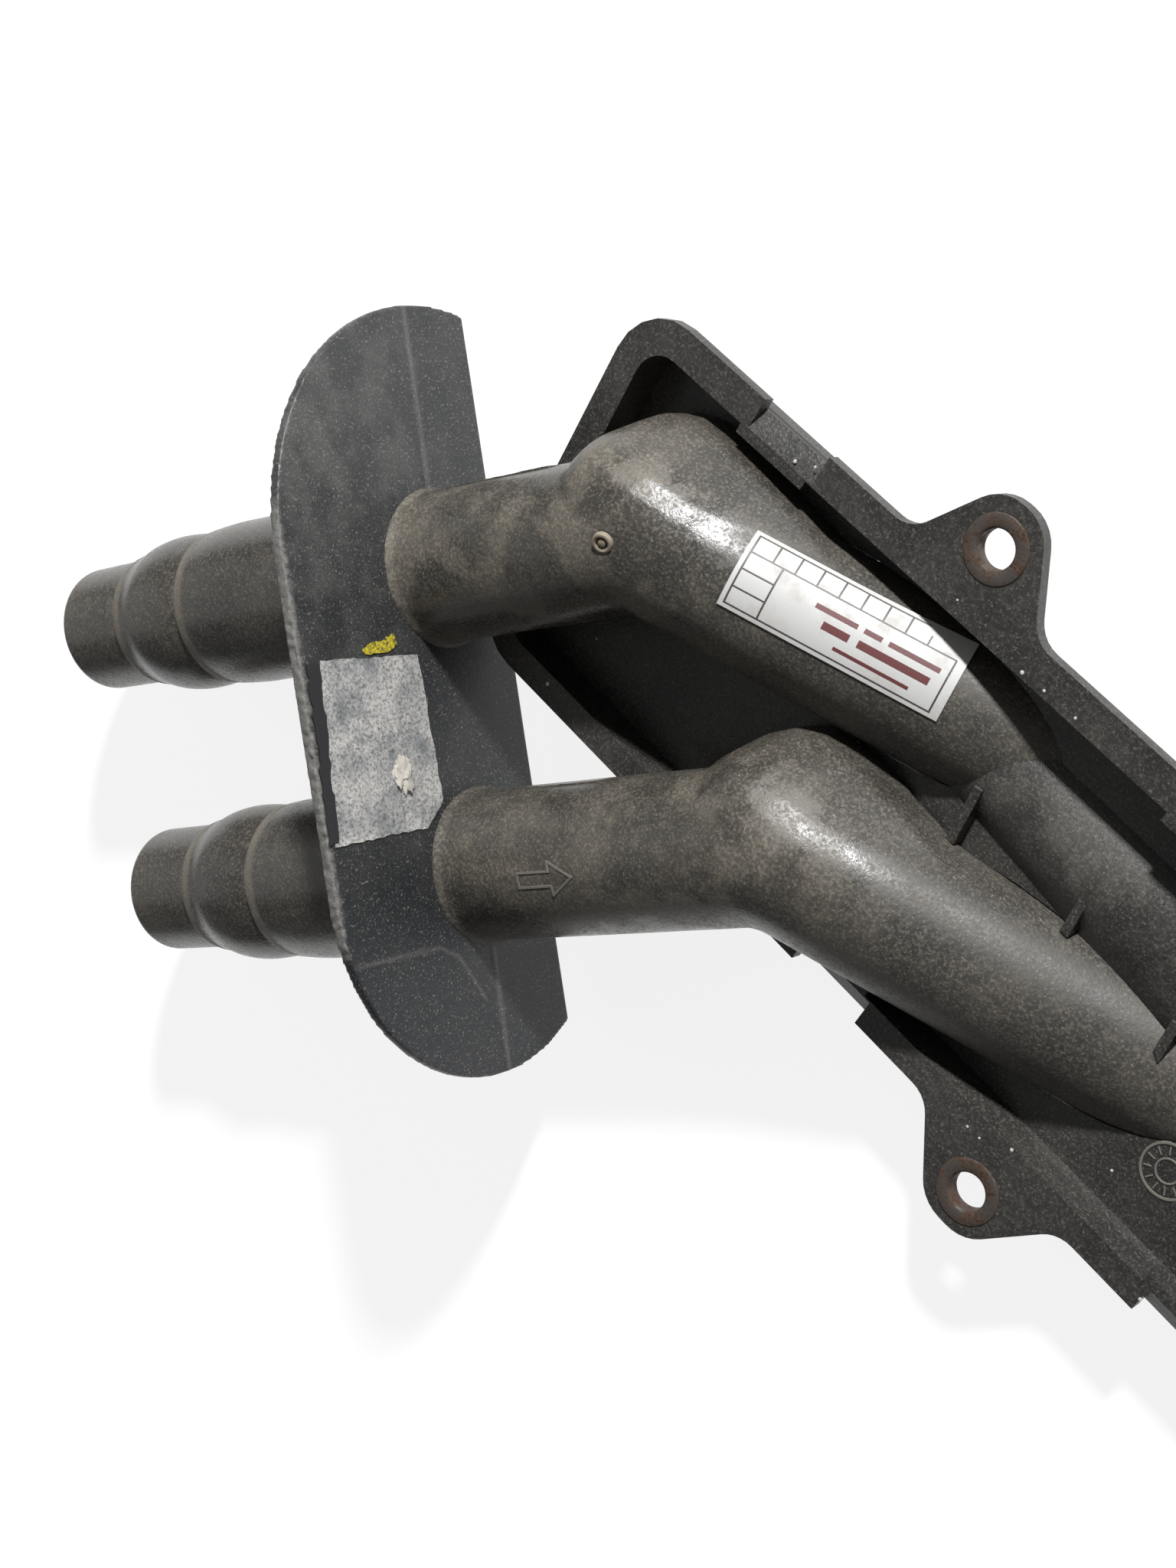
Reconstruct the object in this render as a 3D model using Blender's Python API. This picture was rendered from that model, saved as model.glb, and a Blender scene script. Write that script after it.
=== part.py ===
"""Two-pipe intake manifold: two hose spigots, a bulkhead plate, two angled
runners that dive into a shallow rimmed flange tray, ribs, bushes and seals.

Everything is laid out in millimetres and written to the scene in metres.
X runs along the tray, Y across it, Z points out of the tray; Z = 0 is the
front of the tray rim until the assembly is centred at the very end.
"""
import math

import bmesh
import bpy
from mathutils import Matrix, Vector

MM = 0.001
GAP = 0.3                     # clearance between neighbouring pieces

# ---- driving dimensions, millimetres -------------------------------------
SPIGOT_YAW = 46.65            # plan angle of the spigots from the tray axis
RUN_YAW = 7.44                # plan angle of the sloping runs
RUN_DIP = 20.0                # how steeply the runs dive into the tray
PIPE_R = 13.7                 # runner outside radius
PIPE_BORE_R = 11.2
JUNCTION_R = 15.8             # small flare where a runner meets the plate
BEND_R = 15.5                 # centre-line radius of the bends
PORT_Z = -14.0                # plane that trims the port mouths at the back
UPPER_PLATE = (-83.65, -70.92, 6.6)   # runner axis at the plate front face
UPPER_BEND = (-51.39, -36.75, 6.4)
LOWER_PLATE = (-43.76, -108.58, 6.6)
LOWER_BEND = (0.27, -61.93, 6.4)
UPPER_FOOT, LOWER_FOOT = 33.0, 53.0    # where the feet start, from the plate
UPPER_BULGE, LOWER_BULGE = 3.0, 2.0    # swelling on the outside of the bends
HEAD_START, HEAD_FADE = -2.3, 18.0     # where the swelling is full, and fades
RUN_LENGTH = 112.0            # bend to trimmed end, along the run

PLATE_T = 2.0                 # bulkhead plate thickness
PLATE_TOP = 39.1              # height of the plate edge above the pipe axes
PLATE_CUT = 16.0              # straight edge below the pipe axes
PLATE_R_UPPER = 42.4          # corner radius past the upper pipe
PLATE_R_LOWER = 36.0          # corner radius past the lower pipe
PLATE_C_UPPER = 32.9          # corner centres, from the midpoint of the pipes
PLATE_C_LOWER = -29.3

SPIGOT_BORE_R = 9.7
UPPER_SPIGOT = 93.9           # plate front face to spigot tip
LOWER_SPIGOT = 86.5
# spigot silhouette: distance back from the tip, radius
SPIGOT_PROFILE = [(0.0, 11.5), (0.5, 12.1), (1.6, 12.35), (16.6, 12.45),
                  (18.2, 12.75), (20.5, 13.7), (24.0, 14.8), (28.0, 15.3),
                  (32.0, 15.2), (35.0, 14.8), (37.3, 14.45), (38.6, 14.8),
                  (42.5, 15.5), (47.0, 15.7)]

RIM_T = 2.5                   # flange thickness
RIM_TOP_OUT, RIM_TOP_IN = -7.5, -13.5        # upper rim, Y of its two edges
RIM_LOW_OUT, RIM_LOW_IN = -79.3, -74.2       # lower rim
TRAY_LEFT_UPPER = -78.6       # X of the slanted end edge at the upper rim
TRAY_LEFT_LOWER = -75.4       # and at the lower rim
TRAY_RIGHT = 150.0
RIM_END = 5.6                 # rim width at both ends
CORNER_OUT, CORNER_IN = 10.5, 5.5
FLOOR_Z = -8.0                # tray floor
FLOOR_T = 2.5
WALL_T = 2.3

HOLE_R, BUSH_R = 3.3, 5.6
LUG_UPPER = ((0.1, -0.4), (108.0, -0.4))
LUG_LOWER = ((59.9, -86.4),)
LUG_END = (158.0, -43.4)

LUG_HIGH, LUG_LOW = 8.4, 7.5     # how far the ears reach past their holes

CLIP_LENGTH = 15.6            # clip pockets in the rim
CLIP_STEP = 1.9               # how far the pocket bites in from the rim edge
CLIP_UPPER = (-40.4, 56.0, 129.0)
CLIP_LOWER = (19.8, 99.0)

# ribs between the runners: station along the run, far end across it
RIBS = ((14.4, -36.7), (38.7, -41.4), (61.2, -48.7), (84.0, -55.0))
RIB_T = 1.8
RIB_TOP = -5.0

# sticker on the upper run: start and end along it, angles round it
STICKER_SPAN, STICKER_ANGLES = (18.7, 59.0), (31.0, 90.0)
# torn paper on the plate: across it, and up from the pipe axes
TORN_CORNERS = ((-18.5, 14.0), (-14.0, 9.0), (12.5, 9.8), (13.9, 34.6),
                (-18.2, 38.0))

SEG = 32


# ---- small helpers --------------------------------------------------------
def vec(point):
    return Vector(point) * MM


def heading(yaw, dip=0.0):
    a, b = math.radians(yaw), math.radians(dip)
    return Vector((math.cos(a) * math.cos(b), math.sin(a) * math.cos(b),
                   -math.sin(b)))


def material(name, colour, roughness, metallic):
    mat = bpy.data.materials.new(name)
    mat.use_nodes = True
    shader = mat.node_tree.nodes["Principled BSDF"]
    shader.inputs["Base Color"].default_value = (*colour, 1.0)
    shader.inputs["Roughness"].default_value = roughness
    shader.inputs["Metallic"].default_value = metallic
    mat.diffuse_color = (*colour, 1.0)
    return mat


def finish(name, bm, mat, smooth_angle=None):
    bmesh.ops.remove_doubles(bm, verts=bm.verts, dist=1e-7)
    bmesh.ops.recalc_face_normals(bm, faces=bm.faces)
    mesh = bpy.data.meshes.new(name)
    bm.to_mesh(mesh)
    bm.free()
    obj = bpy.data.objects.new(name, mesh)
    bpy.context.scene.collection.objects.link(obj)
    if mat is not None:
        mesh.materials.append(mat)
    if smooth_angle is not None:
        shade(mesh, smooth_angle)
    return obj


def shade(mesh, angle):
    """Smooth shading with sharp edges kept above the given angle."""
    bm = bmesh.new()
    bm.from_mesh(mesh)
    for face in bm.faces:
        face.smooth = True
    for edge in bm.edges:
        if len(edge.link_faces) == 2:
            edge.smooth = edge.calc_face_angle(0.0) < math.radians(angle)
    bm.to_mesh(mesh)
    bm.free()


def loft(bm, rings, closed_loop=False):
    """Skin a list of equal-length vertex rings."""
    count = len(rings)
    last = count if closed_loop else count - 1
    for i in range(last):
        a, b = rings[i], rings[(i + 1) % count]
        size = len(a)
        for j in range(size):
            k = (j + 1) % size
            bm.faces.new((a[j], a[k], b[k], b[j]))
    if not closed_loop:
        bm.faces.new(list(reversed(rings[0])))
        bm.faces.new(rings[-1])


def rounded(points, steps=5):
    """Polygon with filleted corners from (x, y, radius) entries."""
    out = []
    n = len(points)
    for i in range(n):
        p = Vector(points[i][:2])
        a, b = Vector(points[i - 1][:2]), Vector(points[(i + 1) % n][:2])
        r = points[i][2]
        if r <= 0:
            out.append(p)
            continue
        u, v = (a - p).normalized(), (b - p).normalized()
        half = u.angle(v) / 2
        reach = min(r / math.tan(half), (a - p).length * 0.49,
                    (b - p).length * 0.49)
        r = reach * math.tan(half)
        centre = p + (u + v).normalized() * (r / math.sin(half))
        start = p + u * reach - centre
        sweep = math.pi - 2 * half
        sign = 1.0 if u.x * v.y - u.y * v.x < 0 else -1.0
        for s in range(steps + 1):
            t = sign * sweep * s / steps
            out.append(centre + Matrix.Rotation(t, 2) @ start)
    return out


def slab(name, outline, z0, z1, mat=None, smooth=None):
    """Straight prism over a plan outline."""
    bm = bmesh.new()
    low = [bm.verts.new(vec((p[0], p[1], z0))) for p in outline]
    top = [bm.verts.new(vec((p[0], p[1], z1))) for p in outline]
    loft(bm, [low, top])
    return finish(name, bm, mat, smooth)


def prism(name, outline, origin, u, v, depth, mat=None, smooth=None):
    """Prism over an outline drawn in the (u, v) plane, pushed along u x v."""
    bm = bmesh.new()
    n = u.cross(v)
    rings = []
    for d in depth:
        rings.append([bm.verts.new((origin + u * p[0] + v * p[1] + n * d) * MM)
                      for p in outline])
    loft(bm, rings)
    return finish(name, bm, mat, smooth)


def box(name, lo, hi, mat=None):
    outline = [(lo[0], lo[1]), (hi[0], lo[1]), (hi[0], hi[1]), (lo[0], hi[1])]
    return slab(name, outline, lo[2], hi[2], mat)


def cutter(obj):
    obj.hide_render = True
    obj.hide_viewport = False
    obj.display_type = "WIRE"
    return obj


def boolean(obj, tool, operation):
    mod = obj.modifiers.new(operation.lower(), "BOOLEAN")
    mod.operation = operation
    mod.solver = "EXACT"
    mod.object = tool
    return mod


def bake(obj):
    """Replace the object's mesh by its evaluated result."""
    graph = bpy.context.evaluated_depsgraph_get()
    mesh = bpy.data.meshes.new_from_object(obj.evaluated_get(graph))
    obj.modifiers.clear()
    old = obj.data
    obj.data = mesh
    bpy.data.meshes.remove(old)


def weld(obj, dist=2e-6):
    bm = bmesh.new()
    bm.from_mesh(obj.data)
    bmesh.ops.remove_doubles(bm, verts=bm.verts, dist=dist)
    bmesh.ops.dissolve_degenerate(bm, edges=bm.edges, dist=dist)
    bm.to_mesh(obj.data)
    bm.free()


def combine(obj, tools):
    """Apply (tool, operation) pairs one by one and drop the tools."""
    for tool, operation in tools:
        cutter(tool)
        boolean(obj, tool, operation)
        bake(obj)
        bpy.data.objects.remove(tool)
    weld(obj)


# ---- swept pipes ----------------------------------------------------------
def centre_line(points, radius, steps):
    """Points and tangents of a polyline with rounded corners."""
    pts = [Vector(p) for p in points]
    out = [(pts[0], (pts[1] - pts[0]).normalized())]
    for i in range(1, len(pts) - 1):
        a = (pts[i] - pts[i - 1]).normalized()
        b = (pts[i + 1] - pts[i]).normalized()
        turn = a.angle(b)
        reach = radius * math.tan(turn / 2)
        axis = a.cross(b).normalized()
        inward = axis.cross(a)
        centre = pts[i] - a * reach + inward * radius
        arm = -inward * radius
        for s in range(steps + 1):
            rot = Matrix.Rotation(turn * s / steps, 3, axis)
            out.append((centre + rot @ arm, rot @ a))
    out.append((pts[-1], (pts[-1] - pts[-2]).normalized()))
    return out


def pipe(name, line, radii, bore, mat=None, smooth=None, seg=SEG):
    """Round pipe along a centre line; bore None gives a solid bar."""
    bm = bmesh.new()
    up = Vector((0, 0, 1))
    side = up.cross(line[0][1]).normalized()
    outer, inner = [], []
    for i, (p, t) in enumerate(line):
        side = (side - t * side.dot(t)).normalized()
        top = t.cross(side)
        for store, r in ((outer, radii[i]), (inner, bore)):
            if r is None:
                continue
            ring = []
            for k in range(seg):
                a = 2 * math.pi * k / seg
                ring.append(bm.verts.new((p + (side * math.cos(a)
                                               + top * math.sin(a)) * r) * MM))
            store.append(ring)
    if bore is None:
        loft(bm, outer)
    else:
        loft(bm, outer + list(reversed(inner)), closed_loop=True)
    return finish(name, bm, mat, smooth)


def runner_line(plate_point, bend_point, start, length):
    a = Vector(plate_point)
    d = heading(SPIGOT_YAW)
    b = Vector(bend_point)
    b = a + d * (b - a).dot(d)
    end = b + heading(RUN_YAW, RUN_DIP) * length
    line = centre_line([a + d * start, b, end], BEND_R, 6)
    line.insert(1, (a + d * (start + 1.4), d))
    return line


def saddle(plate_point, bend_point, foot_start, grow=0.0):
    """Straight-sided foot under a runner, from its axis to the tray floor."""
    bm = bmesh.new()
    line = runner_line(plate_point, bend_point, 0.0, RUN_LENGTH)
    half = PIPE_R - 0.12 + grow
    bottom = FLOOR_Z + GAP - 0.7 * grow
    first = Vector(plate_point) + heading(SPIGOT_YAW) * (foot_start - grow)
    stations = [(first, line[1][1])]
    stations += [(p, t) for p, t in line[2:-1]]
    p, t = line[-2]
    drop = (p.z - (bottom + 1.0)) / -line[-1][1].z
    stations.append((p + line[-1][1] * drop, line[-1][1]))
    rings = []
    for p, t in stations:
        side = Vector((-t.y, t.x, 0)).normalized() * half
        rings.append([bm.verts.new(vec(q)) for q in (
            (p.x - side.x, p.y - side.y, bottom),
            (p.x + side.x, p.y + side.y, bottom),
            (p.x + side.x, p.y + side.y, p.z),
            (p.x - side.x, p.y - side.y, p.z))])
    loft(bm, rings)
    return finish("saddle", bm, None)


def head(plate_point, bend_point, bulge, grow=0.0):
    """Round-ended swelling on the outside of a bend, fading along the run."""
    a, d = Vector(plate_point), heading(SPIGOT_YAW)
    b = a + d * (Vector(bend_point) - a).dot(d)
    run = heading(RUN_YAW, RUN_DIP)
    side = Vector((-run.y, run.x, 0)).normalized()
    shift = (side - Vector((0, 0, 1))) * bulge
    full = PIPE_R + bulge - 0.03
    bm = bmesh.new()
    rings = []

    def ring(s, r, centre):
        top = run.cross(side)
        rings.append([bm.verts.new(vec(centre + run * s + (
            side * math.cos(2 * math.pi * k / SEG)
            + top * math.sin(2 * math.pi * k / SEG)) * r)) for k in range(SEG)])

    for i in range(6):
        turn = math.radians(12 + 78 * i / 6)
        ring(HEAD_START - (full + grow) * math.cos(turn),
             (full + grow) * math.sin(turn), b + shift)
    for i in range(6):
        t = i / 5
        fade = 1 - t * t * (3 - 2 * t)
        ring(HEAD_START + HEAD_FADE * t, PIPE_R - 0.03 + bulge * fade + grow,
             b + shift * fade)
    loft(bm, rings)
    return finish("head", bm, None)


def runner(name, plate_point, bend_point, foot_start, bulge, mat):
    line = runner_line(plate_point, bend_point, GAP, RUN_LENGTH)
    radii = [JUNCTION_R] + [PIPE_R] * (len(line) - 1)
    body = pipe(name, line, radii, None, mat)
    foot = saddle(plate_point, bend_point, foot_start)
    bore_line = runner_line(plate_point, bend_point, -3.0, RUN_LENGTH + 5)
    bore = pipe("bore", bore_line, [PIPE_BORE_R] * len(bore_line), None)
    trim = box(name + "_trim", (-90, -130, PORT_Z - 60), (170, 20, PORT_Z))
    swelling = head(plate_point, bend_point, bulge)
    combine(body, [(foot, "UNION"), (swelling, "UNION"), (bore, "DIFFERENCE"),
                   (trim, "DIFFERENCE")])
    shade(body.data, 35)
    return body


def swollen(name, plate_point, bend_point, extra):
    """Solid bar a little fatter than a runner, used for clearances."""
    line = runner_line(plate_point, bend_point, -1.0, RUN_LENGTH + 20)
    return pipe(name, line, [PIPE_R + extra] * len(line), None)


def clear_runners():
    """Cuts that keep a body a small gap away from both runners."""
    tools = []
    for plate_point, bend_point, foot_start, bulge in (
            (UPPER_PLATE, UPPER_BEND, UPPER_FOOT, UPPER_BULGE),
            (LOWER_PLATE, LOWER_BEND, LOWER_FOOT, LOWER_BULGE)):
        for solid in (swollen("clear_bar", plate_point, bend_point, GAP),
                      saddle(plate_point, bend_point, foot_start, GAP),
                      head(plate_point, bend_point, bulge, GAP)):
            tools.append((solid, "DIFFERENCE"))
    return tools


def spigot(name, plate_point, length, mat):
    d = heading(SPIGOT_YAW)
    tip = Vector(plate_point) - d * length
    stations = [(s, r) for s, r in SPIGOT_PROFILE]
    stations.append((length - PLATE_T - GAP, 15.6))
    bm = bmesh.new()
    side = Vector((0, 0, 1)).cross(d).normalized()
    top = d.cross(side)
    rings = []
    inner = [(length - PLATE_T - GAP, SPIGOT_BORE_R), (1.2, SPIGOT_BORE_R),
             (0.0, SPIGOT_BORE_R + 0.8)]
    for s, r in stations + inner:
        ring = []
        for k in range(SEG):
            a = 2 * math.pi * k / SEG
            ring.append(bm.verts.new((tip + d * s + (side * math.cos(a)
                                      + top * math.sin(a)) * r) * MM))
        rings.append(ring)
    loft(bm, rings, closed_loop=True)
    return finish(name, bm, mat, 32)


# ---- bulkhead plate -------------------------------------------------------
def bulkhead(mat):
    d = heading(SPIGOT_YAW)
    across = Vector((-math.sin(math.radians(SPIGOT_YAW)),
                     math.cos(math.radians(SPIGOT_YAW)), 0))
    up = Vector((0, 0, 1))
    a, b = Vector(UPPER_PLATE), Vector(LOWER_PLATE)
    b = b - d * (b - a).dot(d)
    mid = (a + b) / 2
    half = (a - b).dot(across) / 2
    outline = []
    for centre, radius, start, end in (
            (PLATE_C_UPPER, PLATE_R_UPPER, None, 90.0),
            (PLATE_C_LOWER, PLATE_R_LOWER, 90.0, None)):
        cy = PLATE_TOP - radius
        low = math.degrees(math.asin((-PLATE_CUT - cy) / radius))
        first = low if start is None else start
        last = 180.0 - low if end is None else end
        for s in range(15):
            t = math.radians(first + (last - first) * s / 14)
            outline.append((centre + radius * math.cos(t),
                            cy + radius * math.sin(t)))
    body = prism("bulkhead_plate", outline, mid, across, up, (0.0, PLATE_T), mat)
    if across.cross(up).dot(d) > 0:
        body.location = -d * PLATE_T * MM
        bpy.context.view_layer.update()
        body.data.transform(body.matrix_world)
        body.location = (0, 0, 0)
    tools = []
    for sign in (1, -1):
        centre = mid + across * half * sign
        hole = [(SPIGOT_BORE_R * math.cos(2 * math.pi * k / SEG),
                 SPIGOT_BORE_R * math.sin(2 * math.pi * k / SEG))
                for k in range(SEG)]
        tools.append((prism("hole", hole, centre, across, up, (-6, 6)),
                      "DIFFERENCE"))
    combine(body, tools)
    shade(body.data, 30)
    return body


# ---- flange tray ----------------------------------------------------------
def lug_points(centre, base_y, out):
    """Corner points of one ear standing on a straight rim edge."""
    cx, cy = centre
    wide, high = (14.0, LUG_HIGH) if out > 0 else (15.2, LUG_LOW)
    peak = cy + out * high
    return [(cx - wide, base_y, 6.0), (cx - 4.8, peak, 7.4),
            (cx + 4.4, peak, 7.4), (cx + wide, base_y, 6.0)]


def tray_outline():
    pts = [(TRAY_LEFT_LOWER, RIM_LOW_OUT, CORNER_OUT)]
    for c in LUG_LOWER:
        pts += lug_points(c, RIM_LOW_OUT, -1)
    pts.append((TRAY_RIGHT, RIM_LOW_OUT, CORNER_OUT))
    ex, ey = LUG_END
    pts += [(TRAY_RIGHT, ey - 15.0, 6.0), (ex + 9.6, ey - 5.0, 7.6),
            (ex + 9.6, ey + 5.0, 7.6), (TRAY_RIGHT, ey + 15.0, 6.0)]
    pts.append((TRAY_RIGHT, RIM_TOP_OUT, CORNER_OUT))
    for c in reversed(LUG_UPPER):
        pts += list(reversed(lug_points(c, RIM_TOP_OUT, 1)))
    pts.append((TRAY_LEFT_UPPER, RIM_TOP_OUT, CORNER_OUT))
    return rounded(pts)


def tub_outline(grow):
    r = CORNER_IN + grow
    slant = (TRAY_LEFT_UPPER - TRAY_LEFT_LOWER) / (RIM_TOP_OUT - RIM_LOW_OUT)

    def left(y):
        return TRAY_LEFT_LOWER + RIM_END + slant * (y - RIM_LOW_OUT) - grow
    lo, hi = RIM_LOW_IN - grow, RIM_TOP_IN + grow
    right = TRAY_RIGHT - RIM_END + grow
    return rounded([(left(lo), lo, r), (right, lo, r), (right, hi, r),
                    (left(hi), hi, r)])


def clip_pocket(x, y_in, y_out):
    """Inner lip and the cut that ramps the rim off towards its outside."""
    out = 1 if y_out > y_in else -1
    h = CLIP_LENGTH / 2
    lip = sorted((y_in - out * 1.7, y_in + out * 1.0))
    lip_box = box("lip", (x - h - 1.6, lip[0], -5.0), (x + h - 1.4, lip[1], 0.0))
    far = y_out + out * 4.0
    foot = y_out - out * CLIP_STEP
    profile = [(y_in + out * 0.3, 0.0), (foot, 0.4 - RIM_T), (foot, -12.0),
               (far, -12.0), (far, 3.0), (y_in + out * 0.3, 3.0)]
    wedge = prism("wedge", profile, Vector((x - h, 0, 0)), Vector((0, 1, 0)),
                  Vector((0, 0, 1)), (0.0, CLIP_LENGTH))
    return [(lip_box, "UNION"), (wedge, "DIFFERENCE")]


def tray(mat):
    body = slab("flange_tray", tray_outline(), -RIM_T, 0.0, mat)
    tub = slab("tub", tub_outline(WALL_T), FLOOR_Z - FLOOR_T, -1.0)
    tools = [(tub, "UNION"),
             (slab("hollow", tub_outline(0.0), FLOOR_Z, 5.0), "DIFFERENCE")]
    for x in CLIP_UPPER:
        tools += clip_pocket(x, RIM_TOP_IN, RIM_TOP_OUT)
    for x in CLIP_LOWER:
        tools += clip_pocket(x, RIM_LOW_IN, RIM_LOW_OUT)
    for i, c in enumerate(LUG_UPPER + LUG_LOWER + (LUG_END,)):
        r = BUSH_R + GAP
        ring = [(c[0] + r * math.cos(2 * math.pi * k / SEG),
                 c[1] + r * math.sin(2 * math.pi * k / SEG)) for k in range(SEG)]
        tools.append((slab("bush_hole", ring, -8.0, 4.0), "DIFFERENCE"))
    combine(body, tools + clear_runners())
    largest_piece(body)
    shade(body.data, 30)
    return body


# ---- ribs, bushes, seals --------------------------------------------------
def run_point(u, n, z):
    """Point from distance along the runs, distance across them, height."""
    a = math.radians(RUN_YAW)
    return Vector((u * math.cos(a) - n * math.sin(a),
                   u * math.sin(a) + n * math.cos(a), z))


def across_of(point):
    a = math.radians(RUN_YAW)
    return -point[0] * math.sin(a) + point[1] * math.cos(a)


def largest_piece(obj):
    """Keep only the biggest connected shell of an object."""
    bm = bmesh.new()
    bm.from_mesh(obj.data)
    left = set(bm.verts)
    shells = []
    while left:
        stack = [left.pop()]
        shell = set(stack)
        while stack:
            v = stack.pop()
            for e in v.link_edges:
                o = e.other_vert(v)
                if o in left:
                    left.remove(o)
                    shell.add(o)
                    stack.append(o)
        shells.append(shell)
    shells.sort(key=lambda s: (-len(s), min(v.co.x for v in s)))
    for shell in shells[1:]:
        bmesh.ops.delete(bm, geom=list(shell), context="VERTS")
    bm.to_mesh(obj.data)
    bm.free()


def rib(index, u, far_end, mat):
    a = math.radians(RUN_YAW)
    along = Vector((math.cos(a), math.sin(a), 0))
    cross = Vector((-math.sin(a), math.cos(a), 0))
    n0, n1 = across_of(LOWER_BEND) - 4.0, far_end
    origin = run_point(u, 0, 0) - along * (RIB_T / 2)
    profile = [(n0, FLOOR_Z + GAP), (n1, FLOOR_Z + GAP), (n1, RIB_TOP),
               (n0, RIB_TOP)]
    body = prism("web_rib_%d" % index, profile, origin, cross,
                 Vector((0, 0, 1)), (0.0, RIB_T), mat)
    combine(body, clear_runners())
    largest_piece(body)
    return body


def bush(index, centre, mat):
    bm = bmesh.new()
    rings = []
    for r, z in ((BUSH_R, -RIM_T), (BUSH_R, 0.0), (BUSH_R - 0.3, 0.25),
                 (HOLE_R + 0.3, 0.25), (HOLE_R, 0.0), (HOLE_R, -RIM_T)):
        rings.append([bm.verts.new(vec((
            centre[0] + r * math.cos(2 * math.pi * k / SEG),
            centre[1] + r * math.sin(2 * math.pi * k / SEG), z)))
            for k in range(SEG)])
    loft(bm, rings, closed_loop=True)
    return finish("lug_bush_%d" % index, bm, mat, 30)


def loop_seal(name, outer, inner, z0, z1, mat):
    """Flat closed band between two outlines of equal point count."""
    bm = bmesh.new()
    rings = []
    for outline, z in ((outer, z0), (outer, z1), (inner, z1), (inner, z0)):
        rings.append([bm.verts.new(vec((p[0], p[1], z))) for p in outline])
    loft(bm, rings, closed_loop=True)
    return finish(name, bm, mat, 30)


def rim_seal(mat):
    z1 = -RIM_T - GAP
    body = loop_seal("rim_seal", tub_outline(WALL_T + 1.3),
                     tub_outline(WALL_T + GAP), z1 - 1.9, z1, mat)
    combine(body, clear_runners())
    largest_piece(body)
    return body


def port_seal(name, plate_point, bend_point, mat):
    """Long oval gasket lying round a port mouth on the tray back."""
    z1 = FLOOR_Z - FLOOR_T - GAP
    z0 = z1 - 1.9
    d = heading(SPIGOT_YAW)
    a = Vector(plate_point)
    b = a + d * (Vector(bend_point) - a).dot(d)
    run = heading(RUN_YAW, RUN_DIP)
    reach = (b.z - (z0 + z1) / 2) / math.sin(math.radians(RUN_DIP))
    c = b + run * reach
    long_r = PIPE_R / math.sin(math.radians(RUN_DIP)) + 6.5
    short_r = PIPE_R + 2.4
    t = math.radians(RUN_YAW)
    outline = []
    for k in range(48):
        e = 2 * math.pi * k / 48
        p, q = long_r * math.cos(e), short_r * math.sin(e)
        outline.append((c.x + p * math.cos(t) - q * math.sin(t),
                        c.y + p * math.sin(t) + q * math.cos(t)))
    body = slab(name, outline, z0, z1, mat)
    combine(body, clear_runners())
    largest_piece(body)
    shade(body.data, 30)
    return body


# ---- labels ---------------------------------------------------------------
def warranty_label(mat):
    """Thin blank sticker wrapped over the upper run."""
    d = heading(SPIGOT_YAW)
    a = Vector(UPPER_PLATE)
    b = a + d * (Vector(UPPER_BEND) - a).dot(d)
    run = heading(RUN_YAW, RUN_DIP)
    side = Vector((0, 0, 1)).cross(run).normalized()
    top = run.cross(side)
    lo, hi = STICKER_ANGLES
    bm = bmesh.new()
    rings = []
    for s in STICKER_SPAN:
        for_r = (PIPE_R + 0.12, PIPE_R + 0.30)
        ring = []
        for r, order in ((for_r[0], range(9)), (for_r[1], range(8, -1, -1))):
            for k in order:
                e = math.radians(lo + (hi - lo) * k / 8)
                ring.append(bm.verts.new((b + run * s + (side * math.cos(e)
                                          + top * math.sin(e)) * r) * MM))
        rings.append(ring)
    loft(bm, rings)
    return finish("blank_label", bm, mat, 40)


def plate_label(name, corners, thick, mat):
    """Flat scrap lying on the plate front, given in (across, up) mm."""
    d = heading(SPIGOT_YAW)
    across = Vector((-math.sin(math.radians(SPIGOT_YAW)),
                     math.cos(math.radians(SPIGOT_YAW)), 0))
    up = Vector((0, 0, 1))
    a, b = Vector(UPPER_PLATE), Vector(LOWER_PLATE)
    b = b - d * (b - a).dot(d)
    mid = (a + b) / 2 + d * 0.05
    sign = 1 if across.cross(up).dot(d) > 0 else -1
    return prism(name, corners, mid, across, up, (0.0, sign * thick), mat)


# ---- build ----------------------------------------------------------------
def clear():
    for obj in list(bpy.data.objects):
        bpy.data.objects.remove(obj)


def centre_everything(objects):
    lo = [min(v.co[i] for o in objects for v in o.data.vertices)
          for i in range(3)]
    hi = [max(v.co[i] for o in objects for v in o.data.vertices)
          for i in range(3)]
    shift = Vector((-(lo[0] + hi[0]) / 2, -(lo[1] + hi[1]) / 2, -lo[2]))
    for o in objects:
        o.data.transform(Matrix.Translation(shift))


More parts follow.
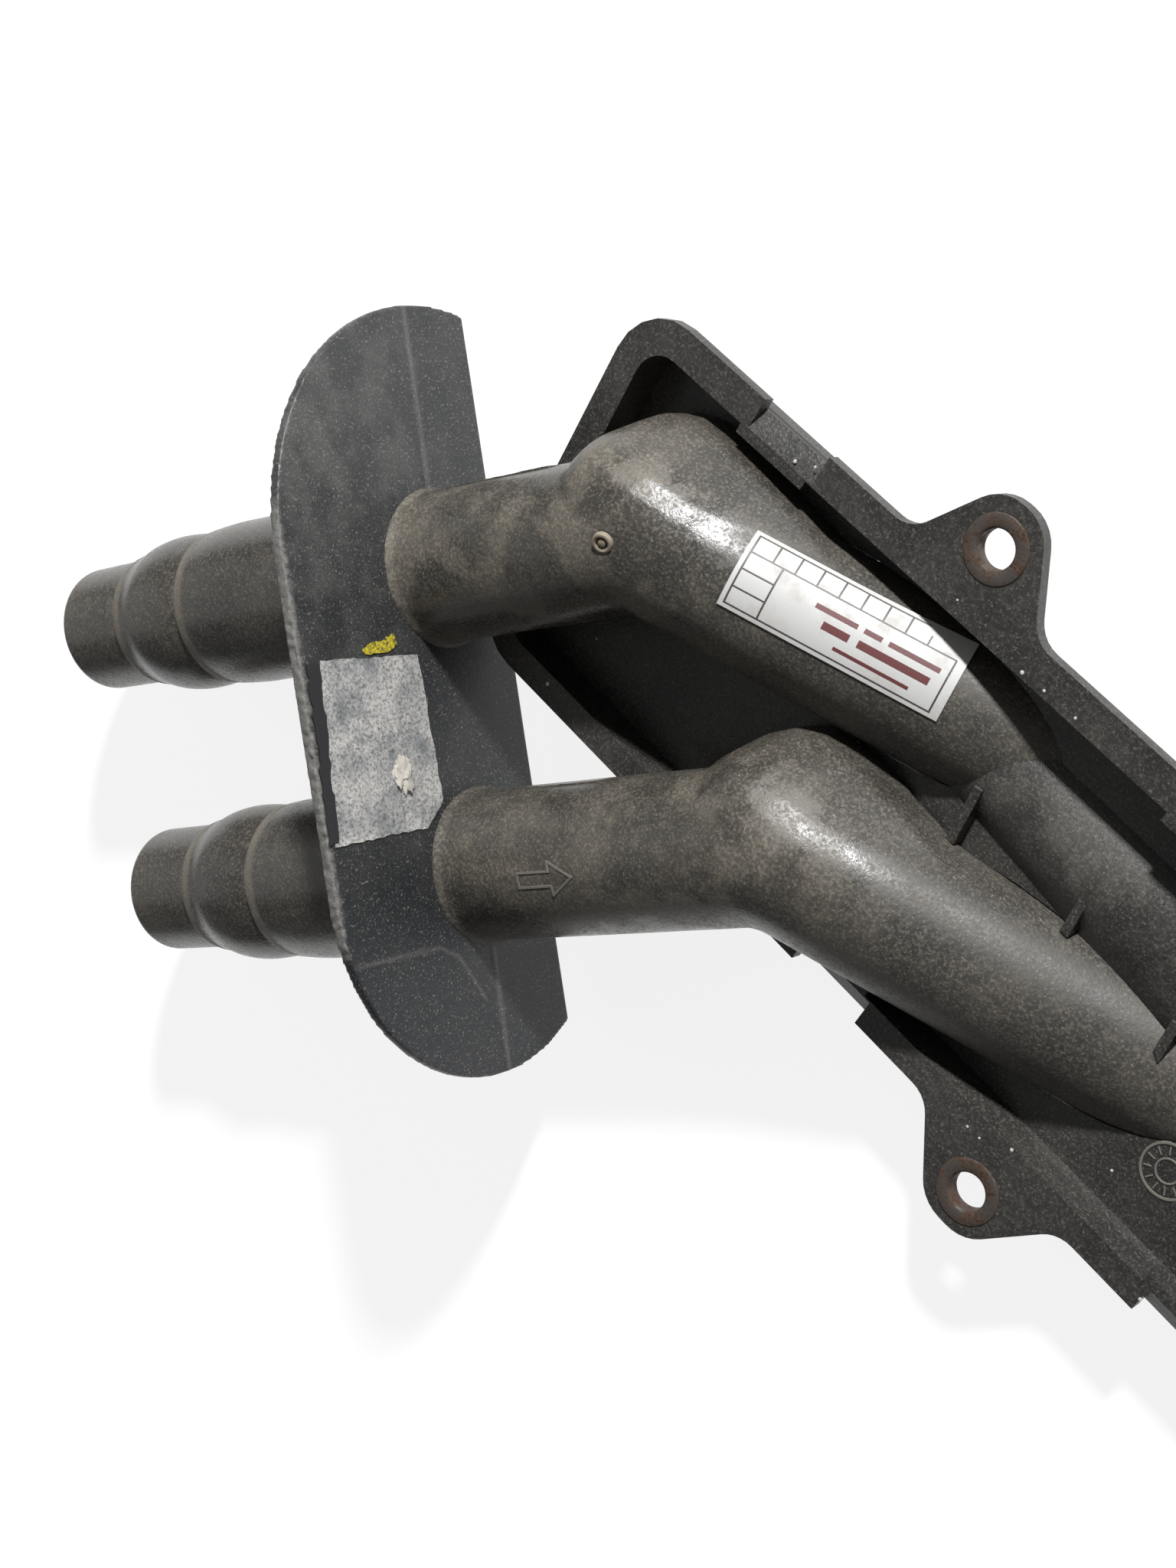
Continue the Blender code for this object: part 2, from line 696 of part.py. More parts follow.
def main():
    clear()
    nylon = material("nylon_pipe", (0.055, 0.050, 0.044), 0.42, 0.0)
    grain = material("nylon_tray", (0.050, 0.050, 0.048), 0.55, 0.0)
    plate = material("nylon_plate", (0.045, 0.048, 0.052), 0.50, 0.0)
    steel = material("rusty_steel", (0.13, 0.065, 0.040), 0.75, 0.6)
    rubber = material("black_rubber", (0.015, 0.015, 0.015), 0.80, 0.0)
    paper = material("white_paper", (0.78, 0.76, 0.76), 0.55, 0.0)
    scrap = material("torn_paper", (0.38, 0.36, 0.33), 0.80, 0.0)

    built = [
        spigot("upper_spigot", UPPER_PLATE, UPPER_SPIGOT, nylon),
        spigot("lower_spigot", LOWER_PLATE, LOWER_SPIGOT, nylon),
        bulkhead(plate),
        runner("upper_runner", UPPER_PLATE, UPPER_BEND, UPPER_FOOT, UPPER_BULGE, nylon),
        runner("lower_runner", LOWER_PLATE, LOWER_BEND, LOWER_FOOT, LOWER_BULGE, nylon),
        tray(grain),
        rim_seal(rubber),
        port_seal("upper_port_seal", UPPER_PLATE, UPPER_BEND, rubber),
        port_seal("lower_port_seal", LOWER_PLATE, LOWER_BEND, rubber),
        warranty_label(paper),
        plate_label("torn_label", TORN_CORNERS, 0.15, scrap),
    ]
    for i, c in enumerate(LUG_UPPER + LUG_LOWER + (LUG_END,)):
        built.append(bush(i + 1, c, steel))
    for i, (u, far_end) in enumerate(RIBS):
        built.append(rib(i + 1, u, far_end, grain))
    centre_everything(built)


main()
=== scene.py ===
"""Looks of the two-pipe manifold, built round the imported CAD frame."""
import math
import random

import bmesh
import bpy
from mathutils import Matrix, Vector, noise


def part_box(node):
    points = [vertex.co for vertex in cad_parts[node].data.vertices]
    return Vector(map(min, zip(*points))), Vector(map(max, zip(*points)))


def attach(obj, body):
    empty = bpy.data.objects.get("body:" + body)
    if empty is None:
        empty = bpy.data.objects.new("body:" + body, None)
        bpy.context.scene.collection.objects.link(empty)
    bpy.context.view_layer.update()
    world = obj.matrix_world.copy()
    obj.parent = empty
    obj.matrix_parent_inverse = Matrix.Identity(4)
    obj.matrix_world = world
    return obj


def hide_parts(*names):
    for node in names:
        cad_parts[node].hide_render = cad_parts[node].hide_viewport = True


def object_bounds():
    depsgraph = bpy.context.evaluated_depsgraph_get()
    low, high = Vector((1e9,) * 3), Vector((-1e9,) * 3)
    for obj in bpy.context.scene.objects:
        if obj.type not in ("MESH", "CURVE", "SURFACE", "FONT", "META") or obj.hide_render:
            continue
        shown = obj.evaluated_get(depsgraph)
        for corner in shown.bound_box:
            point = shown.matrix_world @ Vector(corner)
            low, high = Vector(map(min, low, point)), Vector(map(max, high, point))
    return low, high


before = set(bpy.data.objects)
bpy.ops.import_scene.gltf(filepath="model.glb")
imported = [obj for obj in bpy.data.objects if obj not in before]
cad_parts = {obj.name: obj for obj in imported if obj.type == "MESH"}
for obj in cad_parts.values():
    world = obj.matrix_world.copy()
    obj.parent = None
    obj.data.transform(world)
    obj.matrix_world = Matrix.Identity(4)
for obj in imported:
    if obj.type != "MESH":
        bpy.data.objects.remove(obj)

CAD_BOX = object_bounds()
MM = 0.001

# ---- design frame: millimetres from the first lug hole, z = 0 on the rim ----
LUG_1 = Vector((0.1, -0.4, 0.0))
bush_lo, bush_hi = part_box("lug_bush_1")
rim_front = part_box("flange_tray")[1].z
DATUM = Vector(((bush_lo.x + bush_hi.x) / 2, (bush_lo.y + bush_hi.y) / 2, rim_front))
DATUM -= LUG_1 * MM

SPIGOT_YAW, RUN_YAW, RUN_DIP = 46.65, 7.44, 20.0
PIPE_R, BORE_R, SPIGOT_BORE_R = 13.7, 11.2, 9.7
BEND_R = 15.5
PORT_Z, FLOOR_Z = -14.0, -8.0
UPPER = {"plate": (-83.65, -70.92, 6.6), "bend": (-51.39, -36.75), "foot": 33.0,
         "share": 1.0, "spigot": 93.9, "dusty": 0.40}
LOWER = {"plate": (-43.76, -108.58, 6.6), "bend": (0.27, -61.93), "foot": 53.0,
         "share": 0.96, "spigot": 86.5, "dusty": 0.30}
RUN_LENGTH = 112.0
PLATE_T, PLATE_TOP, PLATE_CUT = 2.0, 39.1, 16.0
PLATE_ENDS = ((32.9, 42.4), (-29.3, 36.0))    # corner centre, corner radius
SPIGOT_PROFILE = ((0.0, 11.5), (0.5, 12.1), (1.6, 12.35), (16.7, 12.45),
                  (17.0, 13.05), (20.5, 13.75), (24.0, 14.8), (28.0, 15.3),
                  (32.0, 15.2), (35.0, 14.8), (37.2, 14.4), (37.5, 14.95),
                  (42.5, 15.5), (47.0, 15.7))
# head on the outside of a bend, from its corner: along X, across, up, radius of
# the crown, reach of the foot
HEAD = ((-17.5, 1.0, -2.0, 4.0, 6.5), (-15.0, 0.8, -1.6, 9.0, 11.5),
        (-11.5, 0.4, -1.0, 12.3, 15.8), (-6.5, 0.2, -1.1, 14.3, 18.4),
        (-0.5, 0.3, -1.7, 15.0, 19.0), (9.4, 1.3, -3.7, 14.4, 18.6),
        (19.4, 3.0, -7.6, 12.9, 17.8), (29.4, 4.1, -11.2, 11.8, 16.8))
# sticker on the upper run: span along it, angles round it, lift of its loose corner
STICKER_ALONG, STICKER_ROUND, CURL_HEIGHT = (18.7, 59.0), (31.0, 90.0), 3.0
PIPE_VOXEL, PIPE_SMOOTHING = 0.55, 14
PLATE_VOXEL, PLATE_SMOOTHING = 0.5, 3


def place(point):
    """World position of a point in the design frame."""
    return DATUM + Vector(point) * MM


def heading(yaw, dip=0.0):
    a, b = math.radians(yaw), math.radians(dip)
    return Vector((math.cos(a) * math.cos(b), math.sin(a) * math.cos(b), -math.sin(b)))


UP = Vector((0, 0, 1))
SPIGOT_DIR = heading(SPIGOT_YAW)
RUN_DIR = heading(RUN_YAW, RUN_DIP)
RUN_SIDE = UP.cross(RUN_DIR).normalized()
RUN_TOP = RUN_DIR.cross(RUN_SIDE)
PLATE_ACROSS = Vector((-SPIGOT_DIR.y, SPIGOT_DIR.x, 0))
for pipe in (UPPER, LOWER):
    start = Vector(pipe["plate"])
    reach = (Vector((*pipe["bend"], start.z)) - start).dot(SPIGOT_DIR)
    pipe["start"], pipe["corner"] = start, start + SPIGOT_DIR * reach
PLATE_MID = LOWER["start"] - SPIGOT_DIR * (LOWER["start"] - UPPER["start"]).dot(SPIGOT_DIR)
PLATE_MID = (PLATE_MID + UPPER["start"]) / 2


# ---- small mesh helpers ----------------------------------------------------
def new_object(name, bm, mat=None, smooth=40.0):
    bmesh.ops.recalc_face_normals(bm, faces=bm.faces)
    mesh = bpy.data.meshes.new(name)
    bm.to_mesh(mesh)
    bm.free()
    obj = bpy.data.objects.new(name, mesh)
    bpy.context.scene.collection.objects.link(obj)
    if mat is not None:
        mesh.materials.append(mat)
    mesh.shade_smooth()
    mesh.set_sharp_from_angle(angle=math.radians(smooth))
    return obj


def bridge(bm, rings, closed=False):
    """Skin through rings of equal size, capped unless the rings close up."""
    n = len(rings[0])
    pairs = list(zip(rings, rings[1:])) + ([(rings[-1], rings[0])] if closed else [])
    for a, b in pairs:
        for k in range(n):
            bm.faces.new((a[k], a[(k + 1) % n], b[(k + 1) % n], b[k]))
    if not closed:
        bm.faces.new(list(reversed(rings[0])))
        bm.faces.new(rings[-1])


def ring(bm, centre, side, top, radius, seg):
    turns = [2 * math.pi * k / seg for k in range(seg)]
    return [bm.verts.new(place(centre + (side * math.cos(t) + top * math.sin(t)) * radius))
            for t in turns]


def sweep(name, stations, seg=96):
    """Round bar through (centre, direction, radius) stations."""
    bm = bmesh.new()
    side = UP.cross(stations[0][1]).normalized()
    rings = []
    for centre, along, radius in stations:
        side = (side - along * side.dot(along)).normalized()
        rings.append(ring(bm, centre, side, along.cross(side), radius, seg))
    bridge(bm, rings)
    return new_object(name, bm)


def turned(name, origin, axis, profile, seg=96, mat=None):
    """Closed body of revolution from (distance, radius) pairs."""
    bm = bmesh.new()
    side = (UP if abs(axis.z) < 0.9 else Vector((0, 1, 0))).cross(axis).normalized()
    top = axis.cross(side)
    bridge(bm, [ring(bm, origin + axis * s, side, top, r, seg) for s, r in profile], True)
    return new_object(name, bm, mat, 35.0)


def prism(name, outline, origin, u, v, depth, mat=None):
    """Outline in the (u, v) plane pushed between two depths along u x v."""
    bm = bmesh.new()
    n = u.cross(v)
    bridge(bm, [[bm.verts.new(place(origin + u * p[0] + v * p[1] + n * d)) for p in outline]
                for d in depth])
    return new_object(name, bm, mat, 30.0)


def apply_modifiers(obj):
    graph = bpy.context.evaluated_depsgraph_get()
    mesh = bpy.data.meshes.new_from_object(obj.evaluated_get(graph))
    old, obj.data = obj.data, mesh
    obj.modifiers.clear()
    bpy.data.meshes.remove(old)


def join(objects):
    bm = bmesh.new()
    for obj in objects:
        bm.from_mesh(obj.data)
    first = objects[0]
    bm.to_mesh(first.data)
    bm.free()
    for obj in objects[1:]:
        bpy.data.objects.remove(obj)
    return first


def remesh(obj, voxel, passes):
    """Fuse overlapping shells and round off their creases."""
    step = obj.modifiers.new("voxels", "REMESH")
    step.mode, step.voxel_size = "VOXEL", voxel * MM
    soft = obj.modifiers.new("soft", "SMOOTH")
    soft.factor, soft.iterations = 0.5, passes
    apply_modifiers(obj)
    obj.data.shade_smooth()


def cut(obj, tool):
    step = obj.modifiers.new("cut", "BOOLEAN")
    step.object, step.operation = tool, "DIFFERENCE"
    apply_modifiers(obj)
    bpy.data.objects.remove(tool)


def keep(obj, slot, *nodes):
    """Rides on the fixed body, standing for the given CAD nodes; the slot argument is not used."""
    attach(obj, "root")
    if nodes:
        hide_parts(*nodes)
    return obj


def paint(obj, name, rule):
    """Store a number per vertex, worked out from its design position."""
    layer = obj.data.attributes.new(name, "FLOAT", "POINT")
    for vert, item in zip(obj.data.vertices, layer.data):
        item.value = rule((vert.co - DATUM) / MM)


def smoothstep(lo, hi, x):
    t = min(1.0, max(0.0, (x - lo) / (hi - lo)))
    return t * t * (3 - 2 * t)


def bump_at(x, centre, half):
    return max(0.0, 1.0 - ((x - centre) / half) ** 2)


# ---- materials -------------------------------------------------------------
class Nodes:
    """Short names for the nodes that the materials share."""

    def __init__(self, name, roughness=0.5, metallic=0.0):
        self.mat = bpy.data.materials.new(name)
        self.mat.use_nodes = True
        self.tree = self.mat.node_tree
        self.shader = self.tree.nodes["Principled BSDF"]
        self.shader.inputs["Roughness"].default_value = roughness
        self.shader.inputs["Metallic"].default_value = metallic
        self.where = self.add("ShaderNodeTexCoord").outputs["Object"]

    def add(self, kind):
        return self.tree.nodes.new(kind)

    def link(self, source, target):
        self.tree.links.new(source, target)

    def noise(self, size_mm, detail=3.0, rough=0.55):
        node = self.add("ShaderNodeTexNoise")
        node.inputs["Scale"].default_value = 1000.0 / size_mm
        node.inputs["Detail"].default_value = detail
        node.inputs["Roughness"].default_value = rough
        self.link(self.where, node.inputs["Vector"])
        return node.outputs["Fac"]

    def ramp(self, value, lo, hi, out_lo=0.0, out_hi=1.0):
        node = self.add("ShaderNodeMapRange")
        for key, number in (("From Min", lo), ("From Max", hi), ("To Min", out_lo),
                            ("To Max", out_hi)):
            node.inputs[key].default_value = number
        self.link(value, node.inputs["Value"])
        return node.outputs["Result"]

    def math(self, kind, a, b):
        node = self.add("ShaderNodeMath")
        node.operation = kind
        for socket, value in zip(node.inputs, (a, b)):
            if isinstance(value, (int, float)):
                socket.default_value = value
            else:
                self.link(value, socket)
        return node.outputs["Value"]

    def mix(self, factor, a, b):
        node = self.add("ShaderNodeMix")
        node.data_type = "RGBA"
        self.link(factor, node.inputs["Factor"])
        for key, value in ((6, a), (7, b)):
            if isinstance(value, tuple):
                node.inputs[key].default_value = (*value, 1.0)
            else:
                self.link(value, node.inputs[key])
        return node.outputs[2]

    def painted(self, name):
        node = self.add("ShaderNodeAttribute")
        node.attribute_name = name
        return node.outputs["Fac"]

    def bumps(self, height, strength, depth_mm):
        node = self.add("ShaderNodeBump")
        node.inputs["Strength"].default_value = strength
        node.inputs["Distance"].default_value = depth_mm * MM
        self.link(height, node.inputs["Height"])
        self.link(node.outputs["Normal"], self.shader.inputs["Normal"])

    def colour(self, value):
        self.link(value, self.shader.inputs["Base Color"])

    def roughness(self, value):
        self.link(value, self.shader.inputs["Roughness"])


def nylon(name, dark, dust_and_painted_light, amount, grain_mm=0.8, gloss=0.36, depth=0.12, patchy=18.0):
    """Moulded nylon: etched grain, mottled dusting, painted glints, and a per-vertex layer of dusting
    that on the plate also carries painted light and shade.
    """
    n = Nodes(name)
    patches = n.ramp(n.noise(patchy, 5.0, 0.62), 0.38, 0.66)
    streaks = n.ramp(n.noise(2.2, 4.0, 0.6), 0.42, 0.66)
    grain = n.noise(grain_mm, 3.0, 0.65)
    speckle = n.ramp(grain, 0.49, 0.64)
    film = n.math("ADD", n.math("MULTIPLY", patches, 0.30 * amount),
                  n.math("MULTIPLY", streaks, 0.16 * amount))
    film = n.math("ADD", film, n.math("MULTIPLY", speckle, 0.60 * amount))
    # The per-vertex layer is dusting, and on the plate it is painted light and shade as well.
    film = n.math("ADD", film, n.math("MULTIPLY", n.painted("dust_and_painted_light"),
                                      n.ramp(grain, 0.30, 0.62, 0.55, 1.0)))
    film = n.ramp(film, 0.0, 1.0)
    glints = n.ramp(n.noise(0.42, 2.0), 0.60, 0.70, 0.0, 0.40)
    n.colour(n.mix(glints, n.mix(film, dark, dust_and_painted_light), tuple(c * 1.9 for c in dust_and_painted_light)))
    worn = n.math("ADD", film, n.math("MULTIPLY", n.painted("dull"), 0.42))
    n.roughness(n.ramp(worn, 0.15, 1.0, gloss, 0.78))
    fine = n.math("ADD", grain, n.math("MULTIPLY", n.noise(grain_mm * 2.6, 3.0), 0.7))
    n.bumps(fine, 0.55, depth)
    return n.mat


def rusty_steel():
    n = Nodes("rusty_steel", metallic=0.35)
    rust = n.ramp(n.noise(2.2, 6.0, 0.7), 0.40, 0.60)
    pits = n.noise(0.5, 4.0, 0.7)
    brown = n.mix(n.ramp(pits, 0.35, 0.65), (0.030, 0.017, 0.012), (0.115, 0.066, 0.042))
    n.colour(n.mix(rust, (0.075, 0.066, 0.060), brown))
    n.roughness(n.ramp(rust, 0.0, 1.0, 0.48, 0.88))
    n.bumps(pits, 0.8, 0.12)
    return n.mat


def rubber():
    n = Nodes("black_rubber")
    bloom = n.noise(3.0, 4.0)
    n.colour(n.mix(bloom, (0.012, 0.012, 0.012), (0.032, 0.031, 0.030)))
    n.roughness(n.ramp(bloom, 0.3, 0.7, 0.62, 0.85))
    n.bumps(n.noise(0.35, 2.0), 0.4, 0.05)
    return n.mat


def paper(name, clean, dirty, size, dirt_lo, dirt_hi, grain_mm=0.5, depth=0.05, specks=0.0):
    """Paper or film: soiled patches of one size, with fine darker grain."""
    n = Nodes(name)
    dirt = n.ramp(n.noise(size, 6.0, 0.7), dirt_lo, dirt_hi)
    grain = n.ramp(n.noise(grain_mm, 4.0, 0.7), 0.44, 0.64, 0.0, specks)
    n.colour(n.mix(grain, n.mix(dirt, clean, dirty), tuple(c * 0.25 for c in dirty)))
    n.roughness(n.ramp(dirt, 0.0, 1.0, 0.45, 0.8))
    n.bumps(n.noise(grain_mm, 4.0), 0.5, depth)
    return n.mat


def plain(name, colour, roughness, grain_mm=0.4):
    """Small trim: one colour, varied a little by fine noise."""
    n = Nodes(name, roughness)
    dim = tuple(c * 0.72 for c in colour)
    n.colour(n.mix(n.noise(grain_mm, 3.0), dim, colour))
    n.bumps(n.noise(grain_mm, 2.0), 0.3, 0.04)
    return n.mat


DUST = (0.150, 0.133, 0.106)
PIPE = nylon("pipe_nylon", (0.024, 0.0235, 0.022), DUST, 0.55, 0.60, 0.23, 0.09)
TRAY = nylon("tray_nylon", (0.016, 0.0157, 0.0152), (0.125, 0.117, 0.102), 0.46, 0.60, 0.42, 0.15)
PLATE = nylon("plate_nylon", (0.0090, 0.0104, 0.0125), (0.155, 0.150, 0.140), 0.12, 0.45, 0.42,
              0.07, 30.0)
FLASH = plain("flash_nylon", (0.17, 0.16, 0.14), 0.5)
GATE = plain("gate_nylon", (0.27, 0.23, 0.17), 0.6)
STEEL, RUBBER = rusty_steel(), rubber()
STICKER = paper("sticker_paper", (0.47, 0.47, 0.46), (0.38, 0.36, 0.335), 6.0,
                0.48, 0.78, 0.8, 0.02)
TORN = paper("torn_paper_backing", (0.46, 0.45, 0.43), (0.17, 0.178, 0.185),
             7.0, 0.40, 0.66, 0.55, 0.10, 0.75)
SCRAP = plain("crumpled_paper", (0.50, 0.47, 0.42), 0.7)
PRINT = plain("printed_ink", (0.06, 0.05, 0.05), 0.5)
DARK_RED = plain("dark_red_ink", (0.12, 0.030, 0.032), 0.5)
TAR = plain("black_residue", (0.018, 0.018, 0.020), 0.6, 1.0)
YELLOW = paper("yellow_residue", (0.50, 0.42, 0.035), (0.035, 0.032, 0.02), 1.1, 0.50, 0.62,
               0.45, 0.05, 0.8)
FLECK = plain("paint_fleck", (0.62, 0.62, 0.60), 0.5)


# ---- spigots ---------------------------------------------------------------
def spline(profile, per=5):
    """Denser profile through the same points, without overshoot at steps."""
    out = []
    for i in range(len(profile) - 1):
        (s0, r0), (s1, r1) = profile[i], profile[i + 1]
        before = profile[max(i - 1, 0)]
        after = profile[min(i + 2, len(profile) - 1)]
        m0 = (r1 - before[1]) / max(s1 - before[0], 1e-6)
        m1 = (after[1] - r0) / max(after[0] - s0, 1e-6)
        gap = s1 - s0
        if gap > 8:
            m0 = m1 = (r1 - r0) / gap
        for k in range(per):
            t = k / per
            h = (2 * t ** 3 - 3 * t ** 2 + 1, t ** 3 - 2 * t ** 2 + t,
                 3 * t ** 2 - 2 * t ** 3, t ** 3 - t ** 2)
            out.append((s0 + gap * t, h[0] * r0 + h[1] * gap * m0 + h[2] * r1 + h[3] * gap * m1))
    return out + [profile[-1]]


def spigot(name, pipe):
    length = pipe["spigot"]
    tip = pipe["start"] - SPIGOT_DIR * length
    end = length - PLATE_T
    outside = spline(SPIGOT_PROFILE) + [(s, 15.65) for s in (52.0, 60.0, 70.0, end - 1.0)]
    outside += [(end - 0.3, 16.0), (end, 16.4)]
    inside = [(end, SPIGOT_BORE_R), (1.2, SPIGOT_BORE_R), (0.3, SPIGOT_BORE_R + 0.5),
              (0.0, SPIGOT_BORE_R + 0.9)]
    obj = turned(name, tip, SPIGOT_DIR, outside + inside, 128, PIPE)

    def dust_and_painted_light(p):
        s = (p - tip).dot(SPIGOT_DIR)
        wobble = noise.noise(p * 0.35) * 0.5
        bands = bump_at(s + wobble, 18.2, 1.5) + bump_at(s + wobble, 38.6, 1.7)
        return min(1.0, 0.85 * bands + 0.16 * smoothstep(14.0, 0.0, s))

    paint(obj, "dust_and_painted_light", dust_and_painted_light)
    return keep(obj, "nylon_pipe", name)


# ---- bulkhead plate --------------------------------------------------------
def plate_point(across, up, out=0.0):
    return PLATE_MID + PLATE_ACROSS * across + UP * up + SPIGOT_DIR * out


def plate_outline(inset=0.0, steps=40):
    out = []
    for i, (centre, radius) in enumerate(PLATE_ENDS):
        cy = PLATE_TOP - radius
        low = math.degrees(math.asin((-PLATE_CUT - cy) / radius))
        first, last = ((low, 90.0), (90.0, 180.0 - low))[i]
        for s in range(steps + 1):
            t = math.radians(first + (last - first) * s / steps)
            r = radius - inset
            out.append((centre + r * math.cos(t), max(cy + r * math.sin(t), inset - PLATE_CUT)))
    return out


def bulkhead():
    """Plate made flat in its own axes, remeshed, then stood on edge."""
    bm = bmesh.new()
    outline = plate_outline()
    rings = [[bm.verts.new(Vector((x, y, z)) * MM) for x, y in outline]
             for z in (-PLATE_T, 0.0)]
    bridge(bm, rings)
    obj = new_object("plate_moulding", bm, PLATE)
    remesh(obj, PLATE_VOXEL, PLATE_SMOOTHING)
    half = (UPPER["start"] - LOWER["start"]).dot(PLATE_ACROSS) / 2
    for vert in obj.data.vertices:
        x, y, z = vert.co / MM
        rough = noise.fractal(Vector((x, y, z)) * 0.9, 0.6, 2.0, 3)
        edge = smoothstep(37.4, 39.0, y) * smoothstep(60.0, 20.0, abs(x + 4))
        seam = bump_at(x * 0.02 + y, 1.2 + 0.4 * noise.noise(Vector((x * 0.05, 0, 0))), 0.7)
        front = smoothstep(-0.8, -0.2, z)
        z += edge * (rough * 0.25 - 0.2) + front * 0.18 * seam * smoothstep(38.0, 44.0, abs(x))
        z += 0.05 * noise.noise(Vector((x * 0.06, y * 0.06, 3.0)))
        y += edge * rough * 0.35
        vert.co = place(plate_point(x, y, z))
    for sign in (1, -1):
        centre = plate_point(half * sign, 0.0)
        stations = [(centre + SPIGOT_DIR * s, SPIGOT_DIR, SPIGOT_BORE_R) for s in (-9, 9)]
        cut(obj, sweep("hole", stations, 64))

    # Per-vertex layer for the plate: the worn top edge, crack and seam are real dusting, and the film
    # adds painted light and shade.
    def dust_and_painted_light(p):
        x, y = (p - PLATE_MID).dot(PLATE_ACROSS), p.z - PLATE_MID.z
        rough = 0.5 + 0.5 * noise.fractal(p * 0.8, 0.6, 2.0, 3)
        worn = smoothstep(37.7, 38.9, y + rough * 1.2 - 0.6)
        crack = 0.0
        for (x0, y0), (x1, y1) in zip(CRACK, CRACK[1:]):
            crack = max(crack, line_near(x, y, x0, y0, x1, y1, 0.55))
        seam = bump_at(x * 0.02 + y, 1.2, 0.8) * smoothstep(38.0, 46.0, abs(x)) * 0.5
        # Painted light and shade: this film is lighter towards the top and the upper pipe's side and
        # darker low down, where shadow falls on the plate. The noise below breaks it into dust patches.
        film = 0.30 * smoothstep(-55.0, 70.0, x) * (0.25 + 0.75 * smoothstep(-12.0, 20.0, y))
        film *= smoothstep(-0.5, 0.7, noise.fractal(p * 0.11, 0.7, 2.0, 4)) + 0.35
        return min(1.0, worn * 0.85 + crack * 0.35 + seam * 0.7 + film)

    paint(obj, "dust_and_painted_light", dust_and_painted_light)
    return keep(obj, "nylon_plate", "bulkhead_plate")


CRACK = ((-39.1, 37.0), (-39.3, 26.0), (-39.7, 15.6), (-42.3, 11.0), (-51.1, 5.7))


def line_near(x, y, x0, y0, x1, y1, half):
    """1 on the segment, fading to 0 at half its width away."""
    dx, dy = x1 - x0, y1 - y0
    t = min(1.0, max(0.0, ((x - x0) * dx + (y - y0) * dy) / (dx * dx + dy * dy)))
    return max(0.0, 1.0 - math.hypot(x - x0 - t * dx, y - y0 - t * dy) / half)


# ---- runners ---------------------------------------------------------------
def bent_line(pipe, first, last, steps=14):
    """Centre-line stations (point, direction) from the plate to the run's end."""
    turn = SPIGOT_DIR.angle(RUN_DIR)
    back = BEND_R * math.tan(turn / 2)
    axis = SPIGOT_DIR.cross(RUN_DIR).normalized()
    inward = axis.cross(SPIGOT_DIR)
    centre = pipe["corner"] - SPIGOT_DIR * back + inward * BEND_R
    out = [(pipe["start"] + SPIGOT_DIR * s, SPIGOT_DIR) for s in first]
    for i in range(steps + 1):
        rot = Matrix.Rotation(turn * i / steps, 3, axis)
        out.append((centre + rot @ (-inward * BEND_R), rot @ SPIGOT_DIR))
    return out + [(pipe["corner"] + RUN_DIR * s, RUN_DIR) for s in last]


def head(pipe):
    """Shoulder on the outside of the bend: crown, flat flank, foot on the floor."""
    bm = bmesh.new()
    for x, y, z, radius, foot in HEAD:
        section = [(foot, -5.6), (foot - 0.4, -14.7), (y - 4.0, z), (y - 4.0, -14.7)]
        for turn in (90, 74, 58, 42, 26):
            a = math.radians(turn)
            section.append((y + radius * math.cos(a), z + radius * math.sin(a)))
        for across, up in section:
            point = Vector((x, across, up)) * pipe["share"]
            bm.verts.new(place(pipe["corner"] + point))
    hull = bmesh.ops.convex_hull(bm, input=bm.verts)
    bmesh.ops.delete(bm, geom=hull["geom_interior"], context="VERTS")
    return new_object("head", bm)


def saddle(pipe):
    """Straight-sided foot from the pipe axis down through the tray floor."""
    line = bent_line(pipe, [pipe["foot"]], [])
    drop = (pipe["corner"].z - FLOOR_Z - 1.0) / math.sin(math.radians(RUN_DIP))
    line.append((pipe["corner"] + RUN_DIR * drop, RUN_DIR))
    bm = bmesh.new()
    rings = []
    for p, along in line:
        side = Vector((-along.y, along.x, 0)).normalized() * PIPE_R
        low = FLOOR_Z + 0.2 - p.z
        rings.append([bm.verts.new(place(p + q)) for q in (
            -side + UP * low, side + UP * low, side, -side)])
    bridge(bm, rings)
    return new_object("foot", bm)


